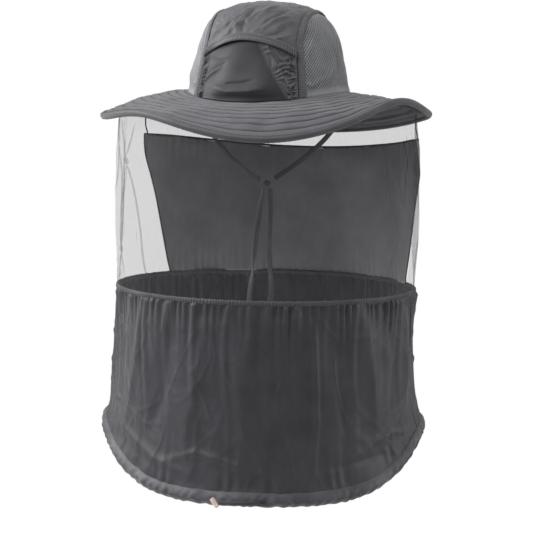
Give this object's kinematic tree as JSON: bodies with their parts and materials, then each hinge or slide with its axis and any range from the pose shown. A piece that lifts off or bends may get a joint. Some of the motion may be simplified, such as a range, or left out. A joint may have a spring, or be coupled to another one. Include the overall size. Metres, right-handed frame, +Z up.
{
  "type": "beekeeping veil",
  "caption": "Wide-brimmed sun hat with an insect veil of face mesh, an opaque neck panel, a gathered skirt with a drawcord hem, and chin straps.",
  "frame": {"origin": "centre of the head opening, at the mean height of the seam between crown and brim", "axes": "+Z up through the crown, -Y to the front of the hat, +X to the wearer's left"},
  "size_m": [0.3555, 0.3742, 0.5142],
  "materials": {
    "crown_cloth": "matt woven polyester",
    "pocket_cloth": "smooth woven polyester",
    "vent_mesh": "knitted mesh with fine holes",
    "trim_tape": "narrow woven tape",
    "brim_cloth": "matt woven polyester, stitched in rings",
    "stiffener": "non-woven",
    "steel_wire": "spring wire",
    "elastic": "braided elastic cord",
    "veil_mesh": "sheer tulle",
    "neck_cloth": "matt woven polyester",
    "skirt_cloth": "smooth woven polyester with a soft sheen",
    "strap_tape": "flat woven tape",
    "end_tab": "moulded, satin"
  },
  "bodies": {
    "hat": {"crown_center_panel": "crown_cloth", "crown_side_mesh_left": "vent_mesh", "crown_side_mesh_right": "vent_mesh", "crown_seam_tape_left": "trim_tape", "crown_seam_tape_right": "trim_tape", "crown_front_pocket": "pocket_cloth", "pocket_hem_band": "crown_cloth", "pocket_elastic_left": "elastic", "pocket_elastic_right": "elastic", "sweatband": "trim_tape", "brim_upper": "brim_cloth", "brim_stiffener": "stiffener", "brim_lower": "brim_cloth", "brim_edge_wire": "steel_wire", "brim_edge_binding": "trim_tape", "veil_attachment_tape": "trim_tape", "chin_anchor_left": "trim_tape", "chin_anchor_right": "trim_tape", "chin_strap_left": "strap_tape", "chin_strap_right": "strap_tape", "chin_knot": "strap_tape", "chin_tail_left": "strap_tape", "chin_tail_right": "strap_tape", "face_mesh": "veil_mesh", "rear_neck_panel": "neck_cloth"},
    "waist": {"waist_binding": "trim_tape", "skirt_front": "skirt_cloth", "skirt_back": "skirt_cloth"},
    "hem": {"hem_casing": "skirt_cloth", "hem_elastic": "elastic", "drawcord_buttonhole": "elastic", "drawcord_tail": "elastic"},
    "drawcord_end": {"drawcord_end_tab": "end_tab"}
  },
  "joints": [
    {"name": "waist_lift", "type": "slide", "parent": "hat", "child": "waist", "axis": [0, 0, 1], "range_m": [0, 0.095], "deforming": ["face_mesh", "rear_neck_panel"]},
    {"name": "hem_lift", "type": "slide", "parent": "waist", "child": "hem", "axis": [0, 0, 1], "range_m": [0, 0.095], "deforming": ["skirt_front", "skirt_back"]},
    {"name": "drawcord_pull", "type": "slide", "parent": "hem", "child": "drawcord_end", "axis": [-1, 0, 0], "range_m": [0, 0.015]}
  ],
  "couplings": [
    {"joint": "hem_lift", "follows": "waist_lift", "ratio": 1}
  ]
}
